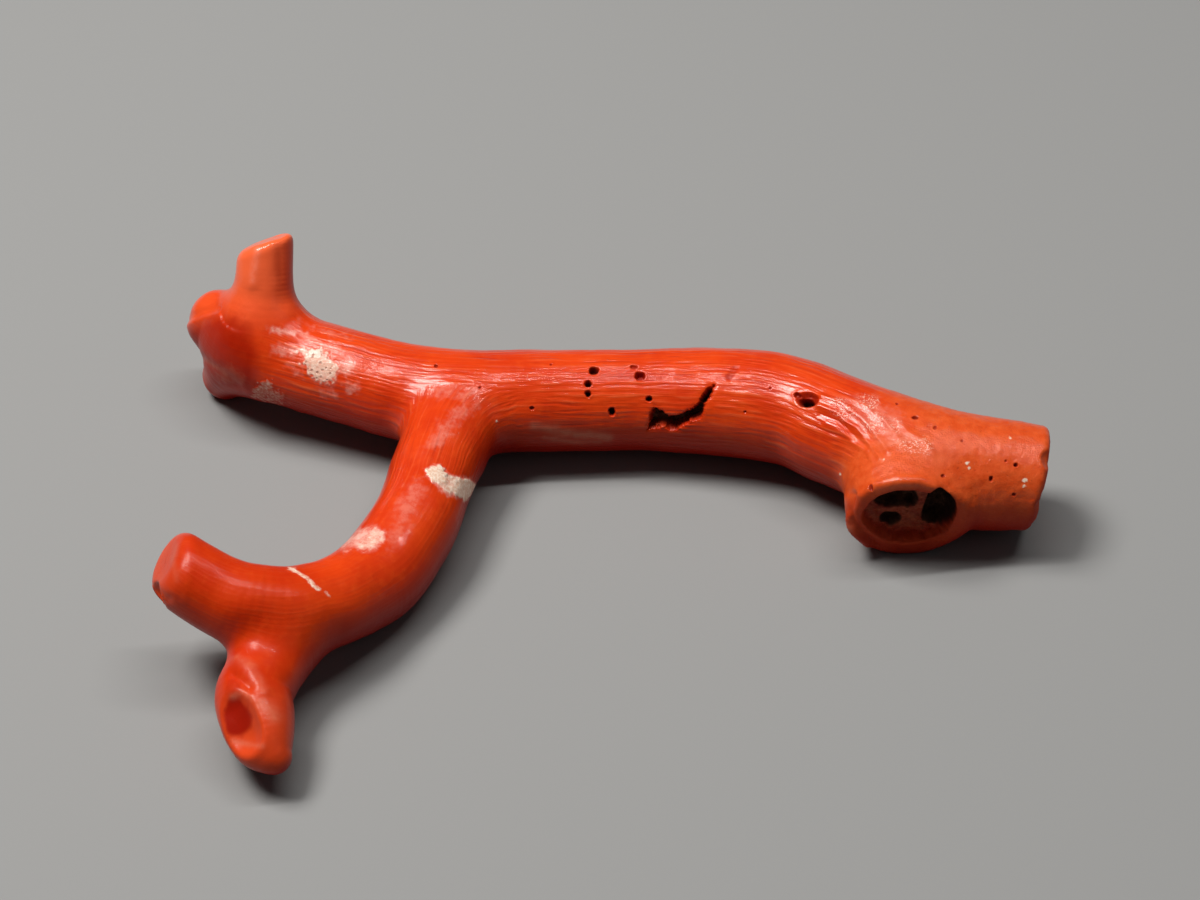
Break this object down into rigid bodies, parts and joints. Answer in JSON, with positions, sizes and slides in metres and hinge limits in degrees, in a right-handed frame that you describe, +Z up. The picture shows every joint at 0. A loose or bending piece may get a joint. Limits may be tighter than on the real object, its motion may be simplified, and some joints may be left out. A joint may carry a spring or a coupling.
{
  "type": "red coral branch",
  "caption": "Short polished branch of red coral lying on its side, with a thick bored stub at one end and a curved forked side branch with broken twig ends.",
  "frame": {"origin": "on the surface that the branch lies on, under the middle of its bounding box", "axes": "+X along the thick stem towards its broken base end, +Y away from the curved side branch, +Z up from the surface it lies on"},
  "size_m": [0.045, 0.0322, 0.01],
  "materials": {
    "polished_coral": "polished red calcite with fine lengthwise grooves, borer pores and small cream crusts",
    "dull_coral": "satin, orange-red and slightly translucent, with fine pits and rubbed patches"
  },
  "bodies": {
    "root": {"main_stem": "polished_coral", "base_end": "dull_coral", "side_stub": "dull_coral", "left_branch": "polished_coral", "upright_twig": "polished_coral", "end_knob": "polished_coral", "lower_branch": "polished_coral", "lower_left_twig": "polished_coral", "lower_tip_twig": "polished_coral"}
  },
  "joints": []
}
